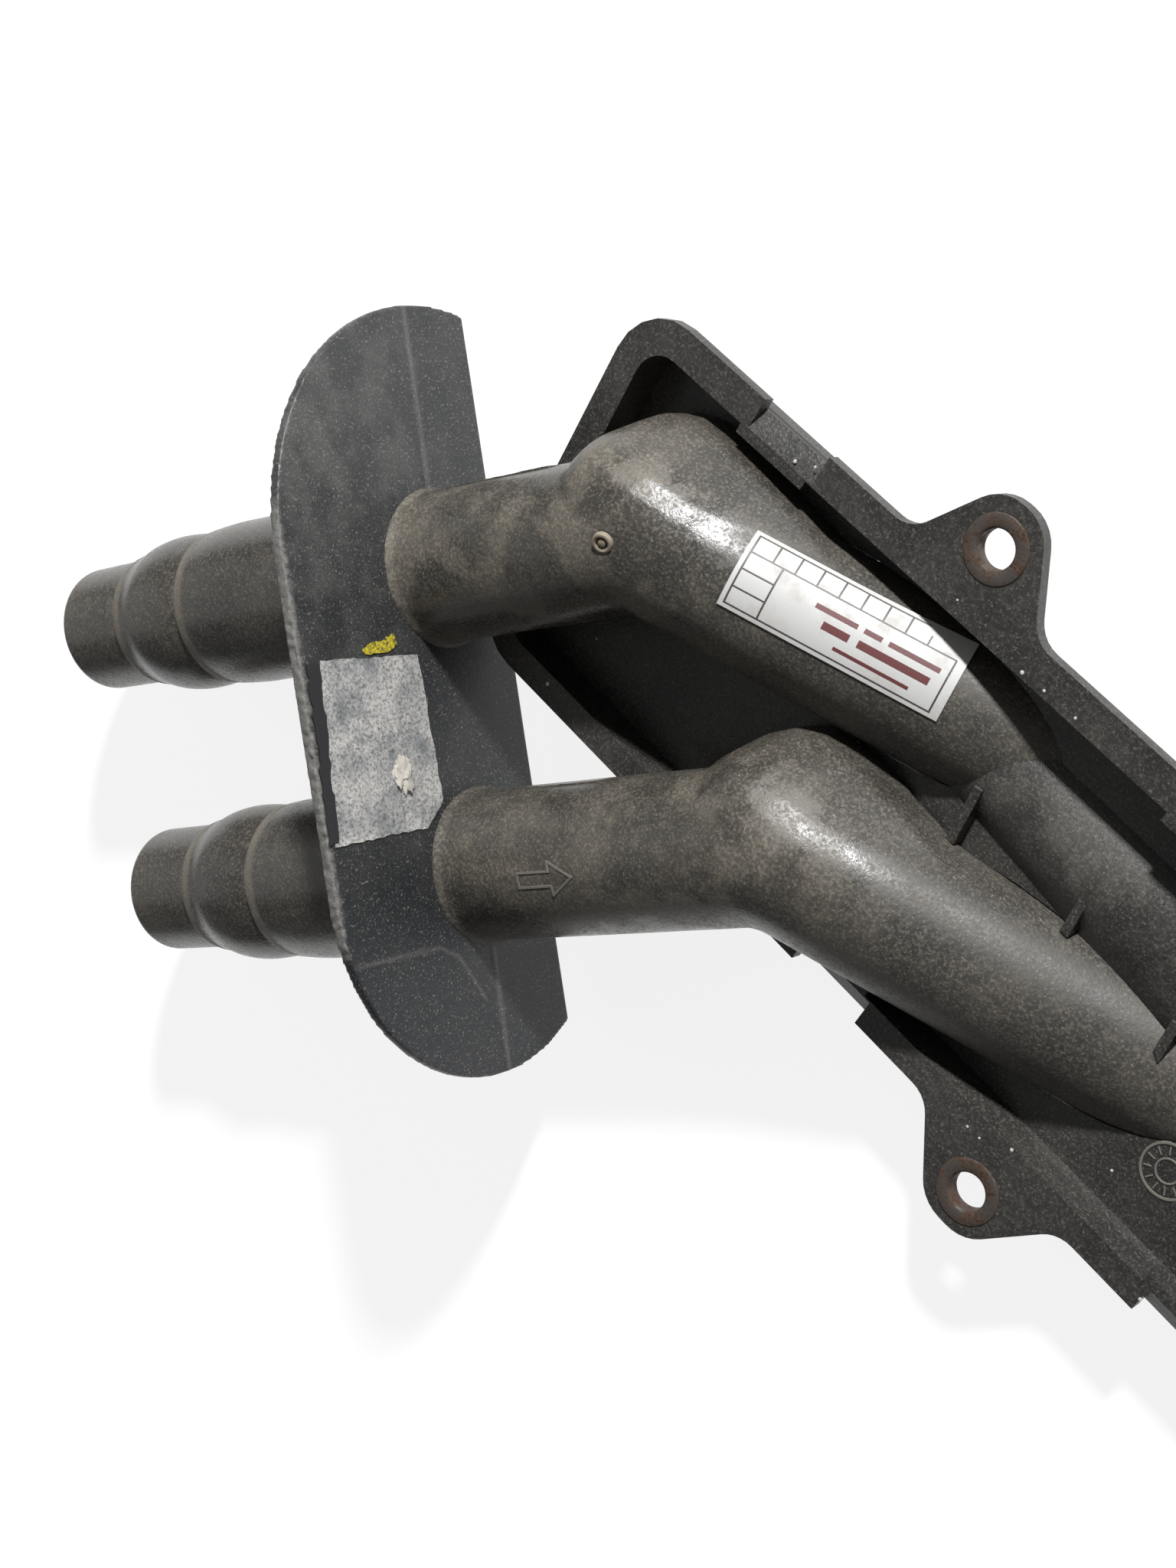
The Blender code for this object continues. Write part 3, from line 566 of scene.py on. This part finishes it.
def runner(name, pipe):
    flare = [(-1.0, 15.0), (-0.2, 15.0), (0.5, 14.4), (1.3, 14.0), (2.4, 13.8)]
    line = bent_line(pipe, [s for s, r in flare], [20.0, 50.0, RUN_LENGTH])
    radii = [r for s, r in flare] + [PIPE_R] * (len(line) - len(flare))
    body = sweep(name + "_moulding", [(p, d, r) for (p, d), r in zip(line, radii)], 96)
    body = join([body, head(pipe), saddle(pipe)])
    body.data.materials.append(PIPE)
    remesh(body, PIPE_VOXEL, PIPE_SMOOTHING)
    bore = bent_line(pipe, [-3.0], [RUN_LENGTH + 5])
    cut(body, sweep("bore", [(p, d, BORE_R) for p, d in bore], 64))
    lo, hi = Vector((-100, -140, PORT_Z - 60)), Vector((190, 30, PORT_Z))
    outline = [(lo.x, lo.y), (hi.x, lo.y), (hi.x, hi.y), (lo.x, hi.y)]
    cut(body, prism("trim", outline, Vector(), Vector((1, 0, 0)), Vector((0, 1, 0)),
                    (lo.z, hi.z)))
    body.data.shade_smooth()
    body.data.set_sharp_from_angle(angle=math.radians(50))
    first = pipe["start"]

    def dust_and_painted_light(p):
        s = (p - first).dot(SPIGOT_DIR)
        u = (p - pipe["corner"]).dot(RUN_DIR)
        top = smoothstep(-4.0, 12.0, p.z - first.z)
        patch = smoothstep(-0.25, 0.45, noise.fractal(p * 0.085, 0.7, 2.0, 4))
        near_bend = bump_at(u, -8.0, 22.0)
        return min(1.0, 0.08 + pipe["dusty"] * top * patch + 0.10 * near_bend * patch
                   + 0.14 * bump_at(s, 0.7, 0.9))

    def dull(p):
        return smoothstep(6.0, 26.0, (p - pipe["corner"]).dot(RUN_DIR))

    paint(body, "dust_and_painted_light", dust_and_painted_light)
    paint(body, "dull", dull)
    return keep(body, "nylon_pipe", name)


def fin(name, stations, height, width, mat):
    """Thin ridge along (point, outward, sideways) stations."""
    bm = bmesh.new()
    rings = []
    for i, (p, out, across) in enumerate(stations):
        h = height * (1 + 0.5 * noise.noise(p * 0.7)) * min(1, i / 2, (len(stations) - 1 - i) / 2)
        rings.append([bm.verts.new(place(p + out * a + across * b)) for a, b in (
            (-0.4, -width), (h, -width * 0.35), (h, width * 0.35), (-0.4, width))])
    bridge(bm, rings)
    return keep(new_object(name, bm, mat), "nylon_pipe")


def pipe_fins():
    """Seams left by the mould halves on the straight lengths."""
    for label, pipe, last in (("upper", UPPER, 36.0), ("lower", LOWER, 55.0)):
        for edge, angle in (("inner", 180.0 + 12.0), ("outer", 12.0)):
            a = math.radians(angle)
            out = PLATE_ACROSS * math.cos(a) + UP * math.sin(a)
            across = out.cross(SPIGOT_DIR)
            stations = [(pipe["start"] + SPIGOT_DIR * s + out * PIPE_R, out, across)
                        for s in [3.5 + 1.5 * k for k in range(int((last - 3.5) / 1.5))]]
            fin("%s_%s_seam" % (label, edge), stations, 0.28, 0.45,
                FLASH if edge == "inner" else PIPE)


# ---- tray, ribs, bushes, seals ---------------------------------------------
def rounded_copy(node, width, mat, slot, angle=28.0):
    """The CAD shape with its long flat faces whole and its edges broken."""
    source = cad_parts[node]
    bm = bmesh.new()
    bm.from_mesh(source.data)
    bmesh.ops.remove_doubles(bm, verts=bm.verts, dist=2e-6)
    bmesh.ops.dissolve_limit(bm, angle_limit=math.radians(1.0), verts=bm.verts, edges=bm.edges)
    obj = new_object(node + "_moulding", bm, mat, angle)
    edge = obj.modifiers.new("edges", "BEVEL")
    edge.width, edge.segments, edge.limit_method = width * MM, 2, "ANGLE"
    edge.angle_limit = math.radians(angle)
    edge.harden_normals = True
    return keep(obj, slot, node)


def bush(index, mat):
    lo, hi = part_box("lug_bush_%d" % index)
    centre = ((lo + hi) / 2 - DATUM) / MM
    z0, z1 = (lo.z - DATUM.z) / MM, (hi.z - DATUM.z) / MM
    r = (hi.x - lo.x) / 2 / MM + 0.3
    profile = [(z0, r), (z1 - 0.35, r), (z1 - 0.08, r - 0.2), (z1, r - 0.45),
               (z1, 3.75), (z1 - 0.12, 3.5), (z1 - 0.4, 3.3), (z0, 3.3)]
    obj = turned("bush_%d" % index, Vector((centre.x, centre.y, 0)), UP, profile, 96, mat)
    return keep(obj, "rusty_steel", "lug_bush_%d" % index)


def date_dial():
    """Plain dial with tick marks on the tray floor: ring, hub and ticks."""
    centre = Vector((80.3, -61.7, FLOOR_Z))
    parts = [turned("date_dial", centre, UP, [(-0.1, 4.9), (0.16, 4.8), (0.16, 4.45), (-0.1, 4.35)], 64),
             turned("hub", centre, UP, [(-0.1, 2.3), (0.14, 2.2), (0.14, 1.95), (-0.1, 1.85)], 48)]
    for k in range(12):
        a = 2 * math.pi * k / 12
        out, across = Vector((math.cos(a), math.sin(a), 0)), Vector((-math.sin(a), math.cos(a), 0))
        outline = [(2.7, -0.12), (4.1, -0.12), (4.1, 0.12), (2.7, 0.12)]
        parts.append(prism("tick", outline, centre, out, across, (-0.1, 0.14)))
    dial = join(parts)
    dial.data.materials.append(FLASH)
    return keep(dial, "nylon_tray")


def flecks():
    """Small paint spots scattered over the tray front."""
    rng = random.Random(7)
    parts = []
    for k in range(46):
        on_rim = k % 3 == 0
        x = rng.uniform(-70, 145)
        y = (rng.choice((-10.4, -76.8)) + rng.uniform(-2.4, 2.4)) if on_rim else rng.uniform(-70, -18)
        z = 0.0 if on_rim else FLOOR_Z
        r = rng.uniform(0.18, 0.42)
        profile = [(-0.1, r), (0.05, r * 0.9), (0.09, r * 0.5), (0.1, 0.04), (-0.1, 0.03)]
        parts.append(turned("paint_flecks", Vector((x, y, z)), UP, profile, 9))
    spots = join(parts)
    spots.data.materials.append(FLECK)
    return keep(spots, "nylon_tray")


def floor_land():
    """Low hump on the tray floor that carries on the line of the upper run."""
    bm = bmesh.new()
    rings = []
    for i in range(93):
        x = 4.0 + 1.5 * i
        middle, half = -30.4 - 0.06 * (x - 4.0), 8.2 + 0.045 * (x - 4.0)
        tall = 3.6 * smoothstep(0.0, 24.0, x) + 0.25 * noise.noise(Vector((x * 0.05, 0.3, 0.0)))
        section = [(middle + half * math.cos(math.pi * k / 20),
                    FLOOR_Z - 0.2 + tall * math.sin(math.pi * k / 20) ** 2) for k in range(21)]
        rings.append([bm.verts.new(place((x, y, z))) for y, z in section])
    bridge(bm, rings)
    land = new_object("floor_land", bm, TRAY)
    bore = bent_line(UPPER, [20.0], [RUN_LENGTH + 5])
    cut(land, sweep("bore", [(p, d, BORE_R + 1.0) for p, d in bore], 64))
    paint(land, "dust_and_painted_light", lambda p: 0.36 * smoothstep(-8.0, -5.2, p.z)
          * smoothstep(-0.5, 0.5, noise.fractal(p * 0.12, 0.7, 2.0, 4)))
    return keep(land, "nylon_tray")


# ---- marks on the pipes ----------------------------------------------------
def on_run(pipe, s, angle, lift=0.0):
    a = math.radians(angle)
    out = RUN_SIDE * math.cos(a) + RUN_TOP * math.sin(a)
    return pipe["corner"] + RUN_DIR * s + out * (PIPE_R + lift)


def curl(s, a):
    """How far the sticker's loose corner stands off the pipe."""
    (s0, s1), (a0, a1) = STICKER_ALONG, STICKER_ROUND
    t, v = (s - s0) / (s1 - s0), (a - a0) / (a1 - a0)
    return CURL_HEIGHT * max(0.0, 0.9 * t + 0.9 * (1 - v) - 1.35) ** 1.6


def sheet_on_run(bm, s0, s1, a0, a1, lift, thick, steps=(24, 18)):
    """Thin closed patch bent round the upper run."""
    layers = []
    for level in (lift, lift + thick):
        grid = []
        for i in range(steps[0] + 1):
            s = s0 + (s1 - s0) * i / steps[0]
            row = []
            for j in range(steps[1] + 1):
                a = a0 + (a1 - a0) * j / steps[1]
                row.append(bm.verts.new(place(on_run(UPPER, s, a, level + curl(s, a)))))
            grid.append(row)
        layers.append(grid)
    n, m = steps
    for grid in layers:
        for i in range(n):
            for j in range(m):
                bm.faces.new((grid[i][j], grid[i + 1][j], grid[i + 1][j + 1], grid[i][j + 1]))
    border = [(i, 0) for i in range(n)] + [(n, j) for j in range(m)]
    border += [(i, m) for i in range(n, 0, -1)] + [(0, j) for j in range(m, 0, -1)]
    for (i, j), (k, l) in zip(border, border[1:] + border[:1]):
        bm.faces.new((layers[0][i][j], layers[0][k][l], layers[1][k][l], layers[1][i][j]))


def sticker():
    (s0, s1), (a0, a1) = STICKER_ALONG, STICKER_ROUND
    bm = bmesh.new()
    sheet_on_run(bm, s0, s1, a0, a1, 0.12, 0.14)
    keep(new_object("sticker", bm, STICKER, 60), "white_paper", "blank_label")
    bm = bmesh.new()

    def bar(u0, u1, v0, v1):
        """Printed bar, given as shares of the sticker's length and width."""
        sheet_on_run(bm, s0 + (s1 - s0) * u0, s0 + (s1 - s0) * u1,
                     a0 + (a1 - a0) * v0, a0 + (a1 - a0) * v1, 0.265, 0.03,
                     (max(2, int(24 * (u1 - u0))), max(2, int(18 * (v1 - v0)))))

    line_u, line_v = 0.008, 0.018
    bar(0.02, 0.80, 0.05, 0.05 + line_v)
    bar(0.02, 0.96, 0.95 - line_v, 0.95)
    bar(0.02, 0.02 + line_u, 0.05, 0.95)
    bar(0.96 - line_u, 0.96, 0.30, 0.95)
    bar(0.02, 0.96, 0.28, 0.28 + line_v)
    for k in range(1, 9):
        bar(0.02 + 0.10 * k, 0.02 + 0.10 * k + line_u, 0.05 if k < 8 else 0.16, 0.28)
    bar(0.17, 0.17 + line_u, 0.28, 0.95)
    for v in (0.50, 0.72):
        bar(0.02, 0.17, v, v + line_v)
    keep(new_object("sticker_grid", bm, PRINT, 60), "white_paper")
    bm = bmesh.new()
    for u0, u1, v0, v1 in ((0.36, 0.55, 0.45, 0.51), (0.58, 0.66, 0.45, 0.51),
                           (0.69, 0.92, 0.45, 0.51), (0.42, 0.54, 0.60, 0.69),
                           (0.58, 0.90, 0.60, 0.69), (0.50, 0.84, 0.80, 0.84)):
        bar(u0, u1, v0, v1)
    keep(new_object("sticker_bars", bm, DARK_RED, 60), "white_paper")


def torn_patch():
    """Torn paper backing with ragged edges, a tar strip and a yellow scrap."""
    rng = random.Random(3)

    def ragged(corners, wobble, step=1.3):
        out = []
        for (x0, y0), (x1, y1) in zip(corners, corners[1:] + corners[:1]):
            n = max(2, int(math.hypot(x1 - x0, y1 - y0) / step))
            for k in range(n):
                out.append((x0 + (x1 - x0) * k / n + rng.uniform(-wobble, wobble),
                            y0 + (y1 - y0) * k / n + rng.uniform(-wobble, wobble)))
        return out

    paper_edge = ragged([(-18.2, 14.2), (-14.0, 9.2), (12.4, 9.9), (13.8, 34.4), (-18.0, 37.6)], 0.22)
    obj = prism("torn_backing", paper_edge, PLATE_MID, PLATE_ACROSS, UP, (0.05, 0.24), TORN)
    keep(obj, "torn_paper", "torn_label")
    tar_edge = ragged([(-17.6, 36.6), (13.4, 34.6), (13.6, 37.6), (-2.0, 38.2), (-17.4, 38.9)], 0.35)
    keep(prism("tar_strip", tar_edge, PLATE_MID, PLATE_ACROSS, UP, (0.02, 0.32), TAR), "nylon_plate")
    scrap = ragged([(13.6, 17.0), (13.9, 23.6), (15.0, 23.4), (16.8, 15.0), (14.6, 14.6)], 0.3, 0.8)
    keep(prism("yellow_scrap", scrap, PLATE_MID, PLATE_ACROSS, UP, (0.02, 0.2), YELLOW), "nylon_plate")


def crumpled_scrap():
    """Small crumpled bit of paper stuck on the torn backing."""
    bm = bmesh.new()
    bmesh.ops.create_icosphere(bm, subdivisions=4, radius=1.0)
    for vert in bm.verts:
        p = vert.co.copy()
        p *= 1.0 + 0.45 * noise.fractal(p * 1.7, 0.6, 2.0, 4)
        vert.co = place(plate_point(-7.7 + 3.3 * p.x, 18.6 + 1.9 * p.y, 0.4 + 0.9 * p.z))
    keep(new_object("crumpled_scrap", bm, SCRAP), "torn_paper")


def gate_mark():
    """Round injection mark on the upper bend: ring with a rough middle."""
    out = (RUN_TOP * 0.96 - RUN_SIDE * 0.28).normalized()
    centre = GATE_POINT + out * 0.35
    ring_body = turned("gate_ring", centre, out, [(-0.6, 1.9), (0.22, 1.75), (0.30, 1.45),
                                                  (0.18, 1.15), (-0.6, 1.0)], 40)
    stub = turned("stub", centre, out, [(-0.6, 0.8), (0.12, 0.7), (0.25, 0.4), (0.25, 0.05),
                                        (-0.6, 0.04)], 9)
    mark = join([ring_body, stub])
    mark.data.materials.append(GATE)
    return keep(mark, "nylon_pipe")


def flow_arrow():
    """Raised outline arrow on the lower pipe, pointing to the tray."""
    start = LOWER["start"]

    def at(s, arc):
        a = math.pi / 2 + arc / PIPE_R
        out = PLATE_ACROSS * math.cos(a) + UP * math.sin(a)
        return start + SPIGOT_DIR * s + out * PIPE_R, out

    path = [(18.9, -1.3), (26.0, -1.3), (26.0, -3.0), (30.9, 0.0), (26.0, 3.0), (26.0, 1.3),
            (18.9, 1.3), (18.9, -1.3)]
    parts = []
    for (s0, a0), (s1, a1) in zip(path, path[1:]):
        p, q = at(s0, a0 + ARROW_ARC), at(s1, a1 + ARROW_ARC)
        along = (q[0] - p[0]).normalized()
        out = (p[1] + q[1]).normalized()
        across = along.cross(out).normalized()
        bm = bmesh.new()
        rings = [[bm.verts.new(place(c + across * x + out * y)) for x, y in
                  ((-0.32, -0.5), (-0.2, 0.22), (0.2, 0.22), (0.32, -0.5))]
                 for c in (p[0] - along * 0.2, q[0] + along * 0.2)]
        bridge(bm, rings)
        parts.append(new_object("flow_arrow", bm))
    arrow = join(parts)
    arrow.data.materials.append(FLASH)
    return keep(arrow, "nylon_pipe")


GATE_POINT = UPPER["corner"] + Vector((1.8, -0.2, 13.3))
ARROW_ARC = 1.5


# ---- floor, light and camera -----------------------------------------------
FLOOR_HALF, FLOOR_CLEARANCE = 30.0, 0.0004    # metres
# name, direction towards the lamp, distance, size in metres, power in watts
LAMPS = (("key", (-0.13, 0.87, 0.47), 1.6, 0.11, 44.0),
         ("fill", (-0.75, -0.45, 0.55), 1.6, 1.3, 2.4))


def studio():
    floor_z = CAD_BOX[0].z - FLOOR_CLEARANCE
    bm = bmesh.new()
    for x, y in ((-1, -1), (1, -1), (1, 1), (-1, 1)):
        bm.verts.new((x * FLOOR_HALF, y * FLOOR_HALF, floor_z))
    bm.faces.new(bm.verts)
    n = Nodes("pale_floor", 0.9)
    n.shader.inputs["Base Color"].default_value = (0.22, 0.22, 0.22, 1.0)
    n.shader.inputs["Emission Color"].default_value = (1.0, 1.0, 1.0, 1.0)
    n.shader.inputs["Emission Strength"].default_value = 0.84
    new_object("floor", bm, n.mat)

    world = bpy.data.worlds.new("studio")
    world.use_nodes = True
    world.node_tree.nodes["Background"].inputs["Color"].default_value = (1.0, 1.0, 1.0, 1.0)
    world.node_tree.nodes["Background"].inputs["Strength"].default_value = 0.17
    bpy.context.scene.world = world
    bpy.context.scene.view_settings.view_transform = "Standard"

    middle = (CAD_BOX[0] + CAD_BOX[1]) / 2
    for name, toward, distance, size, power in LAMPS:
        light = bpy.data.lights.new(name, "AREA")
        light.size, light.energy = size, power
        lamp = bpy.data.objects.new(name, light)
        bpy.context.scene.collection.objects.link(lamp)
        aim = Vector(toward).normalized()
        lamp.location = middle + aim * distance
        lamp.rotation_mode = "QUATERNION"
        lamp.rotation_quaternion = aim.to_track_quat("Z", "Y")


LENS_MM, SENSOR_MM = 54.09, 36.0
CAMERA_AT = (126.52, 126.93, 325.70)
CAMERA_AXES = ((0.6369, 0.4580, -0.6201), (-0.6645, 0.7339, -0.1405),
               (0.3908, 0.5015, 0.7719))        # right, up, back


def camera():
    data = bpy.data.cameras.new("camera")
    data.lens, data.sensor_width = LENS_MM, SENSOR_MM
    data.clip_start, data.clip_end = 0.02, 100.0
    cam = bpy.data.objects.new("camera", data)
    bpy.context.scene.collection.objects.link(cam)
    turn = Matrix(CAMERA_AXES).transposed()
    cam.matrix_world = Matrix.Translation(place(CAMERA_AT)) @ turn.to_4x4()
    bpy.context.scene.camera = cam


# ---- build -----------------------------------------------------------------
camera()
studio()
for side_name, side_pipe in (("upper", UPPER), ("lower", LOWER)):
    spigot(side_name + "_spigot", side_pipe)
    runner(side_name + "_runner", side_pipe)
bulkhead()
pipe_fins()
rounded_copy("flange_tray", 0.35, TRAY, "nylon_tray")
for number in range(1, 5):
    rounded_copy("web_rib_%d" % number, 0.25, TRAY, "nylon_tray")
    bush(number, STEEL)
for seal in ("rim_seal", "upper_port_seal", "lower_port_seal"):
    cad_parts[seal].data.materials.clear()
    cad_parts[seal].data.materials.append(RUBBER)
floor_land()
date_dial()
flecks()
sticker()
torn_patch()
crumpled_scrap()
gate_mark()
flow_arrow()
